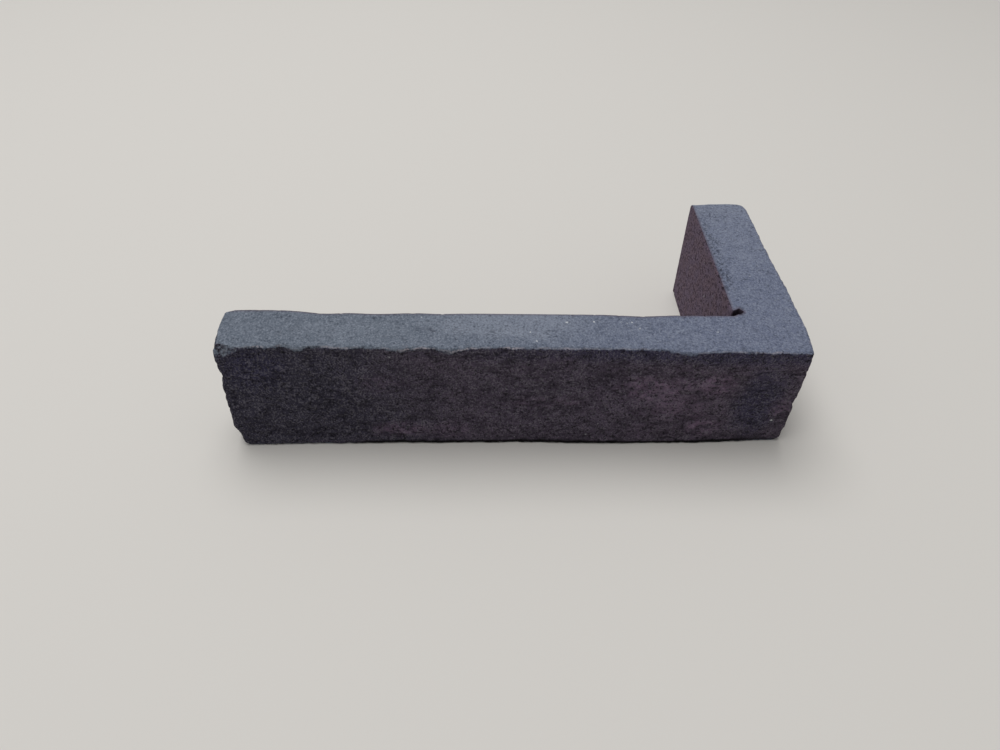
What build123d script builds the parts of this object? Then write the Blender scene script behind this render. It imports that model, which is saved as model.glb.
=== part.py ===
from build123d import *
import os

# Corner brick slip: the L-shaped skin that is left when the core is sawn out of one moulded facing brick.
# Sizes in millimetres. +X runs along the stretcher leg to the wall's outer corner, +Y runs back along
# the header leg, and +Z is up. The origin lies under the middle of the brick, on its lower bed face.

# Envelope of the moulded brick, over its proudest points
stretcher_length = 211.0
header_length = 103.5
height = 48.0

# Thickness that the saw leaves, from the envelope to each sawn face
stretcher_leg = 21.75
header_leg = 25.3

# How far the moulded faces fall back from the envelope, at even stations along the face.
# The front runs from the free end to the wall's outer corner, and the outer face from there to the far end.
front_fall_at_foot = (0.1, 0.9, 1.6, 2.1, 1.7, 2.5, 4.0)
front_fall_at_head = (1.3, 2.4, 2.2, 2.5, 2.5, 1.1, 0.9)
outer_fall_at_foot = (0.8, 0.9, 1.0, 1.2, 1.3, 1.2, 1.7)
outer_fall_at_head = (1.1, 0.1, 0.4, 0.9, 1.4, 1.1, 1.8)
free_end_fall = 0.9
far_end_fall = 1.15

# Rounding that the mould and handling leave on the arrises, and on the far upright corner
arris_radius = 1.3
far_corner_radius = 4.0

# Overrun of the saw blade into the inner corner
kerf_width = 2.2
kerf_depth = 4.8
kerf_angle = 30.0

# Knocks: how far each one reaches into the brick along the three arrises that meet at its corner (X, Y, Z),
# and how far around its middle each one is felt, as a share of its longest reach
free_head_knock = (12.0, 2.6, -6.5)
free_head_wear = (2.5, 22.0, -3.0)
free_foot_knock = (4.5, 7.0, 13.0)
free_back_knock = (3.5, -1.6, -8.0)
wall_foot_knock = (-4.5, 3.5, 3.5)
wall_foot_wear = (-1.6, 2.2, 14.0)
knock_spread = 1.3

free_end = -stretcher_length / 2
wall_corner = stretcher_length / 2
front = -header_length / 2
far_end = header_length / 2
sawn_back = front + stretcher_leg
sawn_side = wall_corner - header_leg


def stations(start, end, falls):
    """Even steps from start to end, each with the fall of its station, without the two ends."""
    last = len(falls) - 1
    return [(start + (end - start) * i / last, falls[i]) for i in range(1, last)]


def knock_plane(corner, reach):
    """The plane through one point on each of the three arrises at a corner, facing out of the brick."""
    outward = Vector(-1 / reach[0], -1 / reach[1], -1 / reach[2])
    return Plane(origin=Vector(*corner) + Vector(*reach) / 3, z_dir=outward)


with BuildPart() as corner_brick_slip:
    # The moulded brick: a ruled body between its two bed outlines, each with its own swells
    levels = ((0, front_fall_at_foot, outer_fall_at_foot), (height, front_fall_at_head, outer_fall_at_head))
    for level, front_falls, outer_falls in levels:
        free_front = (free_end + free_end_fall, front + front_falls[0])
        wall_front = (wall_corner - outer_falls[0], front + front_falls[-1])
        wall_far = (wall_corner - outer_falls[-1], far_end - far_end_fall)
        free_far = (free_end + free_end_fall, far_end - far_end_fall)
        front_points = [(x, front + fall) for x, fall in stations(free_end, wall_corner, front_falls)]
        outer_points = [(wall_corner - fall, y) for y, fall in stations(front, far_end, outer_falls)]
        with BuildSketch(Plane.XY.offset(level)):
            with BuildLine():
                Spline(free_front, *front_points, wall_front)
                Spline(wall_front, *outer_points, wall_far)
                Line(wall_far, free_far)
                Line(free_far, free_front)
            make_face()
    loft(ruled=True)

    # The far upright corner, well rounded, and then every other arris in one run around the brick
    uprights = corner_brick_slip.edges().filter_by(lambda edge: abs(edge.tangent_at(0.5).Z) > 0.9)
    fillet(uprights.sort_by(lambda edge: edge.center().X + edge.center().Y)[-1], far_corner_radius)
    uprights = corner_brick_slip.edges().filter_by(lambda edge: abs(edge.tangent_at(0.5).Z) > 0.9)
    front_uprights = uprights.filter_by(lambda edge: edge.center().Y < 0)
    beds = corner_brick_slip.faces().sort_by(Axis.Z)
    fillet(beds[0].edges() + beds[-1].edges() + front_uprights, arris_radius)

    # The sawn core, with the blade's overrun at the inner corner
    with BuildSketch():
        with Locations((sawn_side, sawn_back)):
            Rectangle(stretcher_length, header_length, align=(Align.MAX, Align.MIN))
        with Locations(Location((sawn_side, sawn_back), (0, 0, kerf_angle))):
            Rectangle(kerf_depth, kerf_width, align=(Align.MIN, Align.MIN))
    extrude(amount=height, mode=Mode.SUBTRACT)

    # Knocked corners
    free_x = free_end + free_end_fall
    wall_x = wall_corner - outer_fall_at_foot[0]
    for corner, reach in (
        ((free_x, front + front_fall_at_head[0], height), free_head_knock),
        ((free_x, front + front_fall_at_head[0], height), free_head_wear),
        ((free_x, front + front_fall_at_foot[0], 0), free_foot_knock),
        ((free_x, sawn_back, height), free_back_knock),
        ((wall_x, front + front_fall_at_foot[-1], 0), wall_foot_knock),
        ((wall_x, front + front_fall_at_foot[-1], 0), wall_foot_wear),
    ):
        felt = knock_spread * max(abs(length) for length in reach)
        with Locations(knock_plane(corner, reach)):
            Cylinder(felt, felt, align=(Align.CENTER, Align.CENTER, Align.MIN), mode=Mode.SUBTRACT)

corner_brick_slip.part.label = "corner_brick_slip"

os.makedirs("parts", exist_ok=True)
export_step(corner_brick_slip.part, "parts/corner_brick_slip.step")
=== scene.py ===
"""A corner brick slip, moulded, fired and sawn, lying on its lower bed on a pale floor.

The slip is one piece. Its mesh is a bar of cells bent round the wall's corner, whose outer wall
follows the moulded faces and whose inner wall follows the saw, with the blade's overrun at the
inner corner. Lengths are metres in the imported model's frame, or millimetres where a line says so.
"""

import logging
import math
from dataclasses import dataclass, field
from enum import Enum
from typing import Any, Callable, Sequence, Union

import bpy
import numpy as np
from mathutils import Matrix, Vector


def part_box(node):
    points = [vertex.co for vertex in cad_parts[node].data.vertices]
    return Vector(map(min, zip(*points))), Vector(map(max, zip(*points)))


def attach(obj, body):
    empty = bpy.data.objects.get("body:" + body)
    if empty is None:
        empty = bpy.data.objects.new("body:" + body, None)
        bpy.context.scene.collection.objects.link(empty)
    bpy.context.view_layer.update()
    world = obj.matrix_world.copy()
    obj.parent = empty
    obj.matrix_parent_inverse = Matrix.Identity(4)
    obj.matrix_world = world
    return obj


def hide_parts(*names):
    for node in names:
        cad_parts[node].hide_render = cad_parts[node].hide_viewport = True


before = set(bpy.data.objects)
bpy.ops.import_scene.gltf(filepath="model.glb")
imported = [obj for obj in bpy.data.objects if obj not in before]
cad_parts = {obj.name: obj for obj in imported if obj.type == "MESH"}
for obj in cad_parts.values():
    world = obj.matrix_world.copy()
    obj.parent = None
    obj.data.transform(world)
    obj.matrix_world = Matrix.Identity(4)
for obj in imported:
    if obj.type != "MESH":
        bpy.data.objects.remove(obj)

LOG = logging.getLogger("corner_brick_slip")
NODE = "corner_brick_slip"
MM = 0.001  # one millimetre in metres
TINY = 1e-15  # keeps divisions away from zero
FRONT, BED = (0, 2), (0, 1)  # the two numbers that give a place on the front, and on a bed
MIXERS = (374761393, 668265263, 2246822519, 3266489917, 1013904223)  # scatter a cell's bits

Array = np.ndarray
Number = Union[int, float]
Pair = tuple[float, float]
Triple = tuple[float, float, float]
Tone = tuple[float, float, float, float]


class Wall(Enum):
    """The bar's walls: the cell number that stays the same, at which end, and if quads are turned."""

    OUTER = (1, 0, False)
    INNER = (1, -1, True)
    LOWER_BED = (2, 0, True)
    UPPER_BED = (2, -1, False)
    FREE_END = (0, 0, True)
    FAR_END = (0, -1, False)


class Output(Enum):
    """The output nodes that a shader can end in."""

    MATERIAL = "ShaderNodeOutputMaterial"
    WORLD = "ShaderNodeOutputWorld"


def each(kind: Callable[..., Any], *rows: tuple[Any, ...]) -> tuple[Any, ...]:
    """Makes one thing of a kind from each row of its numbers."""
    return tuple(kind(*row) for row in rows)


def smoothstep(low: Number, high: Number, values: Array) -> Array:
    """Rises from 0 at low to 1 at high along 3t^2 - 2t^3.

    Args:
        low: Where the rise starts.
        high: Where it ends. It may be less than low, and then the rise is a fall.
        values: The numbers that are stepped.

    Returns:
        An array of the same shape, from 0 to 1.
    """
    t = np.clip((values - low) / (high - low), 0.0, 1.0)
    return t * t * (3.0 - 2.0 * t)


def mix(share: Array, first: Array, second: Array) -> Array:
    """The first where the share is 0, the second where it is 1, and evenly between."""
    return first * (1.0 - share) + second * share


def unit(rows: Array) -> Array:
    """Rows of numbers as directions of length 1."""
    return rows / np.maximum(np.linalg.norm(rows, axis=-1, keepdims=True), TINY)


def axes_matrix(right: Array, up: Array, forward: Array, place: Sequence[float]) -> Matrix:
    """The matrix of a camera or lamp, which looks along its own -Z.

    Args:
        right: Where its X points.
        up: Where its Y points.
        forward: Where it looks.
        place: Where it stands.

    Returns:
        Its matrix in the world.
    """
    turned = np.eye(4)
    turned[:3] = np.column_stack([right, up, -np.asarray(forward), place])
    return Matrix(turned.tolist())


def add_object(name: str, data: Any) -> bpy.types.Object:
    """Puts a mesh, lamp or camera into the scene as an object at the origin."""
    made = bpy.data.objects.new(name, data)
    bpy.context.scene.collection.objects.link(made)
    return made


@dataclass(frozen=True)
class Grain:
    """Seeded noise on a lattice, the same in every run.

    Attributes:
        seed: Picks the pattern.
    """

    seed: int

    def scatter(self, cells: Array, salt: int) -> Array:
        """Gives each whole-numbered cell a number from 0 to 1 by mixing its bits.

        Args:
            cells: Whole numbers, three to a row.
            salt: Tells one use of the same cells from another.

        Returns:
            One number for each row.
        """
        mixed = cells.astype(np.int64).astype(np.uint32) * np.array(MIXERS[:3], np.uint32)
        h = mixed.sum(-1, dtype=np.uint32)
        h = h + np.uint32((self.seed * MIXERS[3] + salt * MIXERS[4]) % 2**32)
        for shift, mixer in ((15, MIXERS[2]), (13, MIXERS[3]), (16, 1)):
            h = (h ^ (h >> np.uint32(shift))) * np.uint32(mixer)
        return h.astype(np.float64) / 2.0**32

    def scatter_triple(self, cells: Array) -> Array:
        """Gives each cell three such numbers."""
        return np.stack([self.scatter(cells, axis) for axis in range(3)], -1)

    def swell(self, points: Array, size: Union[Number, Sequence[float]]) -> Array:
        """Smooth gradient noise: each lattice corner pushes with its own slope, and the eight pushes
        around a point are mixed with the weights 6t^5 - 15t^4 + 10t^3.

        Args:
            points: Places in metres, three to a row.
            size: Width of a swell in metres, one for all directions or one for each.

        Returns:
            Heights of about -1 to 1.
        """
        scaled = points / np.asarray(size, float)
        base = np.floor(scaled)
        inside = scaled - base
        fade = inside**3 * (inside * (inside * 6.0 - 15.0) + 10.0)
        total = np.zeros(len(points))
        for corner in np.ndindex(2, 2, 2):
            step = np.array(corner, float)
            slopes = self.scatter_triple(base + step) * 2.0 - 1.0
            push = ((inside - step) * slopes).sum(-1)
            total += push * np.prod(np.where(step > 0, fade, 1.0 - fade), axis=-1)
        return total * 1.6

    def swells(self, points: Array, size: float, count: int) -> Array:
        """Moves each place by swells of so many grains, one to a direction."""
        return np.stack([Grain(self.seed + n).swell(points, size) for n in range(count)], -1)


@dataclass(frozen=True)
class Lumps:
    """Lumps of one kind: swells at ever smaller sizes, each half as wide as the last.

    Attributes:
        seed: Picks the pattern.
        size: Width of the widest swells in millimetres.
        layers: How many sizes are added.
        fall: How many times as high each layer is as the last.
    """

    seed: int
    size: float
    layers: int = 2
    fall: float = 0.7

    def on(self, points: Array) -> Array:
        """Heights of about -1 to 1 at places in metres."""
        total = np.zeros(len(points))
        height, reach = 1.0, 0.0
        for layer in range(self.layers):
            grain = Grain(self.seed + 101 * layer)
            total += height * grain.swell(points, self.size * MM / 2.0**layer)
            reach += height
            height *= self.fall
        return total / reach


@dataclass(frozen=True)
class Folds:
    """Thin folds along the zero lines of a stretched swell, faded by a wider one.

    Attributes:
        seed: Picks the pattern.
        lean: How far the folds climb along X, in degrees.
        size: Width of the swells in millimetres: along the fold, through the piece, across the fold.
        sharp: How narrow the folds are.
        wider: How many times as wide the fading swell is.
    """

    seed: int
    lean: float
    size: Triple
    sharp: float = 6.0
    wider: float = 1.7

    def on(self, points: Array) -> Array:
        """exp(-(sharp x swell)^2) times the fade, from 0 to 1, at places in metres."""
        lean = math.radians(self.lean)
        cos, sin = math.cos(lean), math.sin(lean)
        x, y, z = points.T
        turned = np.stack([cos * x + sin * z, y, cos * z - sin * x], -1)
        size = np.array([width * MM for width in self.size])
        line = np.exp(-((self.sharp * Grain(self.seed).swell(turned, size)) ** 2))
        return line * smoothstep(-0.1, 0.35, Grain(self.seed + 5).swell(turned, size * self.wider))


@dataclass(frozen=True)
class Pits:
    """Round pits of one kind: every cell of a lattice may hold one, at a scattered place.

    Attributes:
        seed: Picks the pattern.
        spacing: Width of a cell in millimetres.
        share: Share of the cells that hold a pit.
        least: Smallest radius in millimetres.
        most: Largest radius in millimetres.
    """

    seed: int
    spacing: float
    share: float
    least: float
    most: float

    def on(self, points: Array) -> Array:
        """1 - (distance / radius)^2 in the deepest pit around each place in metres, from 0 to 1."""
        grain, spacing = Grain(self.seed), self.spacing * MM
        least, most = self.least * MM, self.most * MM
        base = np.floor(points / spacing)
        depth = np.zeros(len(points))
        for corner in np.ndindex(3, 3, 3):
            cell = base + np.array(corner, float) - 1.0
            place = (cell + grain.scatter_triple(cell)) * spacing
            radius = least + (most - least) * grain.scatter(cell, 3)
            far = np.linalg.norm(points - place, axis=-1)
            there = grain.scatter(cell, 4) < self.share
            depth = np.maximum(depth, np.where(there, 1.0 - (far / radius) ** 2, 0.0))
        return depth


@dataclass(frozen=True)
class Outline:
    """A path in plan made of straight runs and round corners.

    Attributes:
        corners: Points of the path in metres.
        radii: Radius at each inner corner in metres, or nothing where all are sharp.
        arc_points: Points on each arc.
        fine_steps: Steps in which the path is searched for the point nearest to a mark.
    """

    corners: Sequence[Sequence[float]]
    radii: Sequence[float] = ()
    arc_points: int = 24
    fine_steps: int = 20000

    def dense(self) -> Array:
        """The path with its arcs drawn out, two numbers to a row.

        An arc starts radius x tan(half the turn) before its corner.
        """
        corners = np.array(self.corners, float)
        points = [corners[:1]]
        for at, radius in enumerate(self.radii or [0.0] * (len(corners) - 2), start=1):
            before, here, after = corners[at - 1 : at + 2]
            way_in = (here - before) / np.linalg.norm(here - before)
            way_out = (after - here) / np.linalg.norm(after - here)
            turn = math.atan2(way_in[0] * way_out[1] - way_in[1] * way_out[0], way_in @ way_out)
            start = here - way_in * radius * abs(math.tan(turn / 2.0))
            side = np.array([-way_in[1], way_in[0]]) * math.copysign(1.0, turn)
            centre = start + side * radius
            x, y = start - centre
            angles = np.linspace(0.0, turn, self.arc_points)
            cos, sin = np.cos(angles), np.sin(angles)
            points.append(centre + np.stack([cos * x - sin * y, sin * x + cos * y], -1))
        return np.concatenate(points + [corners[-1:]])

    def along(self, cells: Sequence[int], marks: Sequence[Sequence[float]] = ()) -> Array:
        """Splits the path into cells between marks, evenly from each mark to the next.

        Args:
            cells: Cells from each mark to the next, so one fewer than the marks.
            marks: Points near the path, where the number of cells changes, or nothing for its corners.

        Returns:
            Points, two numbers to a row, one more than the cells.
        """
        path = self.dense()
        steps = np.linalg.norm(np.diff(path, axis=0), axis=1)
        lengths = np.concatenate([[0.0], np.cumsum(steps)])

        def places(stops: Array) -> Array:
            """The points at these lengths along the path."""
            return np.stack([np.interp(stops, lengths, path[:, axis]) for axis in (0, 1)], -1)

        fine = np.linspace(0.0, lengths[-1], self.fine_steps + 1)
        seen = places(fine)
        at = [fine[np.argmin(np.linalg.norm(seen - np.array(mark), axis=1))]
              for mark in marks or self.corners]
        at[0], at[-1] = 0.0, lengths[-1]
        runs = [np.linspace(a, b, n, endpoint=False) for a, b, n in zip(at[:-1], at[1:], cells)]
        return places(np.concatenate(runs + [[at[-1]]]))


@dataclass
class SlipSizes:
    """Sizes of the slip in metres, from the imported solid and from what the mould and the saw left.

    Attributes:
        low, high: Lowest and highest corner of the solid's box.
        stretcher_leg, header_leg: From the envelope of each moulded face to the sawn one behind it.
        half_length, half_width: Half the size of the moulded brick's envelope.
        far_corner_radius, wall_corner_radius, free_corner_radius: Rounding of the uprights at the
            far end, at the wall's corner and at the free end.
        kerf_width, kerf_depth: Width of the blade's overrun, and how far it runs on past the corner.
        kerf_angle: How far it turns from X, in degrees.
        moulded_arris, sawn_arris: Rounding of the moulded and of the sawn arrises.
    """

    low: Array
    high: Array
    stretcher_leg: float = 21.75 * MM
    header_leg: float = 25.3 * MM
    half_length: float = 105.5 * MM
    half_width: float = 51.75 * MM
    far_corner_radius: float = 4.0 * MM
    wall_corner_radius: float = 1.2 * MM
    free_corner_radius: float = 1.8 * MM
    kerf_width: float = 2.2 * MM
    kerf_depth: float = 4.8 * MM
    kerf_angle: float = 30.0
    moulded_arris: float = 1.3 * MM
    sawn_arris: float = 0.45 * MM

    def __post_init__(self) -> None:
        """Works out the planes and the height that the sizes above give."""
        self.front = -self.half_width
        self.wall_corner = self.half_length
        self.sawn_back = self.front + self.stretcher_leg
        self.sawn_side = self.wall_corner - self.header_leg
        self.free_end, self.far_end = float(self.low[0]), float(self.high[1])
        self.foot, self.head = float(self.low[2]), float(self.high[2])
        self.height = float(self.high[2] - self.low[2])


@dataclass
class BentBar:
    """The surface of a bar of cells, bent round the wall's corner.

    A cell is counted along the bar from the free end to the far end, across it from the outer wall
    to the inner wall, and up it from bed to bed. Only the bar's outside is kept.

    Attributes:
        sizes: The slip's sizes.
        runs: Cells along the bar: the stretcher leg, the kerf's two walls and end, the header leg.
        across: Cells across the bar. It is even, because the spine is the middle line.
        up: Cells from bed to bed.
        crowding: How far the cells crowd near the arrises, from 0 to 1.
        outer_stops: How far past the sawn back the outer wall's cells change, in millimetres.
        spine_bends: Where the spine bends, past the inner corner along X and Y, in millimetres.
        spine_turn: How far past the sawn back the spine reaches the header leg, in millimetres.
    """

    sizes: SlipSizes
    runs: tuple[int, int, int, int, int] = (300, 29, 16, 15, 100)
    across: int = 34
    up: int = 64
    crowding: float = 0.4
    outer_stops: Pair = (12, 23)
    spine_bends: tuple[Pair, Pair] = ((15, 1), (12, 10))
    spine_turn: float = 16

    def __post_init__(self) -> None:
        """Numbers the outside cells and lays out the bar in plan."""
        self.index = np.full((sum(self.runs) + 1, self.across + 1, self.up + 1), -1)
        outside = np.ones(self.index.shape, bool)
        outside[1:-1, 1:-1, 1:-1] = False
        self.cell = np.argwhere(outside)
        self.index[outside] = np.arange(len(self.cell))
        self.plan = self.lay_out()

    def crowd(self, count: int) -> Array:
        """Steps from 0 to 1, closer near both ends: part even and part (1 - cos(pi t)) / 2."""
        t = np.linspace(0.0, 1.0, count + 1)
        return (1.0 - self.crowding) * t + self.crowding * (1.0 - np.cos(math.pi * t)) / 2.0

    def lay_out(self) -> Array:
        """Joins the outer line to the spine and the spine to the inner line by straight cross lines.

        Returns:
            The plan's points, indexed along and across, with two numbers each.
        """
        s = self.sizes
        turn = math.radians(s.kerf_angle)
        blade = np.array([math.cos(turn), math.sin(turn)])
        aside = np.array([-blade[1], blade[0]])
        tip_front = np.array([s.sawn_side, s.sawn_back]) + blade * s.kerf_depth
        tip_back = tip_front + aside * s.kerf_width
        inner = Outline([
            (s.free_end, s.sawn_back), (s.sawn_side, s.sawn_back), tip_front, tip_back,
            (s.sawn_side, s.sawn_back + s.kerf_width / math.cos(turn)), (s.sawn_side, s.far_end),
        ]).along(self.runs)
        outer_end = (s.wall_corner - 0.3 * s.header_leg, s.far_end)
        outer = Outline(
            [(s.free_end, s.front + 0.1 * s.stretcher_leg), (s.free_end, s.front),
             (s.wall_corner, s.front), (s.wall_corner, s.far_end), outer_end],
            [s.free_corner_radius, s.wall_corner_radius, s.far_corner_radius],
        ).along(self.runs, [
            (s.free_end, s.front), (s.wall_corner, s.front), (s.wall_corner, s.sawn_back),
            *((s.wall_corner, s.sawn_back + stop * MM) for stop in self.outer_stops), outer_end])
        middle = s.front + s.stretcher_leg / 2.0
        spine = Outline([
            (s.free_end, middle), ((s.sawn_side + s.wall_corner) / 2.0, middle),
            *((s.sawn_side + x * MM, s.sawn_back + y * MM) for x, y in self.spine_bends),
            (s.sawn_side + s.header_leg / 2.0, s.sawn_back + self.spine_turn * MM),
            (s.sawn_side + s.header_leg * 0.4, s.far_end),
        ]).along(self.runs)
        w = self.crowd(self.across)[None, :, None]
        to_spine = outer[:, None] + (spine - outer)[:, None] * np.clip(2.0 * w, 0.0, 1.0)
        return to_spine + (inner - spine)[:, None] * np.clip(2.0 * w - 1.0, 0.0, 1.0)

    def rim(self) -> tuple[Array, Array]:
        """The plan's rim as a ring, with a mark on each point that the saw made.

        Returns:
            The ring's points against the clock seen from above, and 1 where they are sawn.
        """
        outer, inner = self.plan[:, 0], self.plan[:, -1]
        far, free = self.plan[-1, 1:-1], self.plan[0, 1:-1][::-1]
        sides = (outer, far, inner[::-1], free)
        return np.concatenate(sides), np.repeat([0.0, 0.0, 1.0, 0.0], [len(a) for a in sides])

    def rim_distance(self) -> tuple[Array, Array, Array]:
        """How far each point of the plan lies from the rim, which way, and whether that rim is sawn.

        The nearest place on every straight piece of the rim is the point's shadow on it, held
        between the piece's ends, and the nearest of them all counts. Close to the rim, the way
        out follows the rim's own normals.

        Returns:
            The distances, the directions out to the rim, and 1 for a sawn rim, indexed as the plan.
        """
        start, rim_sawn = self.rim()
        run = np.roll(start, -1, axis=0) - start
        length = np.maximum((run**2).sum(-1), TINY**2)
        normal = np.stack([run[:, 1], -run[:, 0]], -1) / np.sqrt(length)[:, None]
        normal = unit(normal + np.roll(normal, 1, axis=0))
        points = self.plan.reshape(-1, 2)
        far, way, sawn = np.zeros(len(points)), np.zeros((len(points), 2)), np.zeros(len(points))
        for rows in np.array_split(np.arange(len(points)), 16):  # in parts, to save memory
            gap = points[rows][:, None] - start[None]
            t = np.clip((gap * run[None]).sum(-1) / length[None], 0.0, 1.0)
            away = run[None] * t[..., None] - gap
            distance = np.linalg.norm(away, axis=-1)
            nearest = distance.argmin(1)
            pick = np.arange(len(rows)), nearest
            far[rows] = distance[pick]
            share = t[pick]
            after = (nearest + 1) % len(start)
            blended = mix(share[:, None], normal[nearest], normal[after])
            straight = away[pick] / np.maximum(far[rows], TINY)[:, None]
            close = smoothstep(0.2 * MM, 0.02 * MM, far[rows])[:, None]
            way[rows] = unit(mix(close, straight, blended))
            sawn[rows] = mix(share, rim_sawn[nearest], rim_sawn[after])
        shape = self.plan.shape[:2]
        return far.reshape(shape), way.reshape(*shape, 2), sawn.reshape(shape)

    def faces(self) -> Array:
        """The quads of the six walls, facing outwards, four points to a row."""
        quads = []
        for wall in Wall:
            axis, end, turned = wall.value
            sheet = self.index.take(end, axis)
            ring = [sheet[:-1, :-1], sheet[1:, :-1], sheet[1:, 1:], sheet[:-1, 1:]]
            quads.append(np.stack(ring[::-1] if turned else ring, -1).reshape(-1, 4))
        return np.concatenate(quads)


def vertex_normals(points: Array, quads: Array) -> Array:
    """Normals at the points: each quad adds the cross product of its diagonals to its four corners.

    Args:
        points: Places, three numbers to a row.
        quads: Corners of the quads, four to a row.

    Returns:
        Unit normals, three numbers to a row.
    """
    a, b, c, d = (points[quads[:, n]] for n in range(4))
    across = np.cross(c - a, d - b)
    total = np.zeros_like(points)
    for n in range(4):
        np.add.at(total, quads[:, n], across)
    return unit(total)


@dataclass(frozen=True)
class Fall:
    """How far a moulded face falls back from its envelope, at even stations along it.

    Attributes:
        foot: The falls at the lower bed, in millimetres.
        head: The falls at the upper bed, in millimetres.
    """

    foot: tuple[float, ...]
    head: tuple[float, ...]

    def at(self, share: Array, rise: Array) -> Array:
        """The fall at places on the face: a cosine ease between stations, and straight upwards.

        Args:
            share: Where along the face, from 0 to 1.
            rise: How high up, from 0 to 1.

        Returns:
            Falls in metres.
        """
        spots = np.clip(share, 0.0, 1.0) * (len(self.foot) - 1)
        left = np.minimum(spots.astype(int), len(self.foot) - 2)
        ease = (1.0 - np.cos(math.pi * (spots - left))) / 2.0
        low, high = (mix(ease, falls[left], falls[left + 1])
                     for falls in (np.array(self.foot), np.array(self.head)))
        return mix(rise, low, high) * MM


@dataclass(frozen=True)
class Knock:
    """A corner that was knocked off along a plane.

    Attributes:
        reach: How far the knock runs along the three arrises, with signs, in millimetres.
        raggedness: How rough the broken face is, in millimetres.
        soft: How softly the broken face bends into the faces around it, in millimetres.
        spread: How many times its longest reach the knock still acts.
    """

    reach: Triple
    raggedness: float
    soft: float = 0.35
    spread: float = 2.0

    def cut(self, points: Array, corner: Triple, seed: int) -> tuple[Array, Array]:
        """Moves what stands past the plane back to it, along its normal and with a soft bend.

        A point at height t past the plane goes back by (t + sqrt(t^2 + soft^2)) / 2, less what
        the bend would take off the plane itself, and then the broken face is roughened.

        Args:
            points: Places, three numbers to a row.
            corner: The corner before the knock, in metres.
            seed: Picks the broken face's pattern.

        Returns:
            The moved places, and 1 on the broken face.
        """
        reach = np.array(self.reach) * MM
        normal = -1.0 / reach
        normal /= np.linalg.norm(normal)
        base = np.array(corner) + np.array([reach[0], 0.0, 0.0])
        near = np.linalg.norm(points - np.array(corner), axis=1) < self.spread * np.abs(reach).max()
        past = np.where(near, (points - base) @ normal, -1.0)
        soft = self.soft * MM
        back = (past + np.sqrt(past**2 + soft**2)) / 2.0 - soft * 0.5 * np.exp(-np.abs(past) / soft)
        moved = points - normal * np.maximum(back, 0.0)[:, None]
        proud = self.raggedness * MM * Lumps(seed, 4.0, 3, 0.6).on(moved)
        proud *= smoothstep(0.0, 1.2 * MM, past)
        return moved + normal * proud[:, None], smoothstep(-0.1 * MM, 0.3 * MM, past)


@dataclass(frozen=True)
class Swell:
    """A place where the clay stands proud or is dented.

    Attributes:
        at: Its middle in millimetres.
        half: Half its size along X, Y and Z in millimetres.
        push: How far it moves the surface along X, Y and Z, in millimetres.
    """

    at: Triple
    half: Triple
    push: Triple

    def move(self, points: Array) -> Array:
        """Adds the push times exp(-r^2), where r is the distance from the middle in half sizes."""
        away = (points / MM - np.array(self.at)) / np.array(self.half)
        return points + np.exp(-(away**2).sum(-1))[:, None] * np.array(self.push) * MM


@dataclass(frozen=True)
class Stretch:
    """A stretch of the front's upper arris.

    Attributes:
        at: Its middle along X in millimetres.
        half: Half its length in millimetres.
        strength: How far it changes the arris.
    """

    at: float
    half: float
    strength: float

    def bell(self, points: Array, power: int) -> Array:
        """The strength times exp(-(distance / half)^power)."""
        return self.strength * np.exp(-(((points[:, 0] / MM - self.at) / self.half) ** power))


@dataclass(frozen=True)
class Crack:
    """A thin crack, from one point to another, in millimetres.

    Attributes:
        start: One end, by the two numbers that give a place there.
        end: The other end.
        half_width: Half its width.
        depth: Its depth.
        axes: Which two numbers of a place the ends give.
    """

    start: Pair
    end: Pair
    half_width: float = 0.45
    depth: float = 0.45
    axes: tuple[int, int] = FRONT

    def trace(self, points: Array) -> Array:
        """Its depth on its line, and 0 past its half width, measured square to the line."""
        place = points[:, list(self.axes)] / MM + 0.7 * Grain(83).swells(points, 3 * MM, 2)
        run = np.array(self.end) - np.array(self.start)
        t = np.clip(((place - self.start) @ run) / (run @ run), 0.0, 1.0)
        far = np.linalg.norm(place - self.start - t[:, None] * run, axis=1)
        return smoothstep(self.half_width * 1.6, self.half_width * 0.3, far) * self.depth


@dataclass(frozen=True)
class Patch:
    """A patch of another tone or another relief.

    Attributes:
        at: Its middle in millimetres, by the two numbers that give a place there.
        half: Half its width and height in millimetres.
        strength: How far it changes the tone, from 0 to 1.
        axes: Which two numbers of a place the middle gives.
    """

    at: Pair
    half: Pair
    strength: float = 1.0
    axes: tuple[int, int] = FRONT

    def spread(self, points: Array) -> Array:
        """The strength in the patch's ellipse and 0 around it, with a ragged rim."""
        away = (points[:, list(self.axes)] / MM - self.at) / self.half
        ragged = np.linalg.norm(away, axis=1) + 0.45 * Lumps(53, 6.0, 3, 0.6).on(points)
        return self.strength * smoothstep(1.5, 0.5, ragged)


def spread_all(patches: Sequence[Patch], points: Array) -> Array:
    """All patches together, from 0 to 1."""
    return np.clip(sum(patch.spread(points) for patch in patches), 0.0, 1.0)


@dataclass(frozen=True)
class Skin:
    """How high each texture stands on one kind of face, in millimetres.

    Attributes:
        lumps, broad, waves: Its lumps, from small to wide.
        pores, pits: Its small and large pits.
        shift: How far the whole face is moved.
    """

    lumps: float
    broad: float
    waves: float
    pores: float
    pits: float
    shift: float

    def height(self, lumps: Array, broad: Array, waves: Array, pores: Array, pits: Array) -> Array:
        """The textures, each from 0 to 1 or from -1 to 1, as one height."""
        return (self.lumps * lumps + self.broad * broad + self.waves * waves - self.pores * pores
                - self.pits * pits + self.shift)


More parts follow.
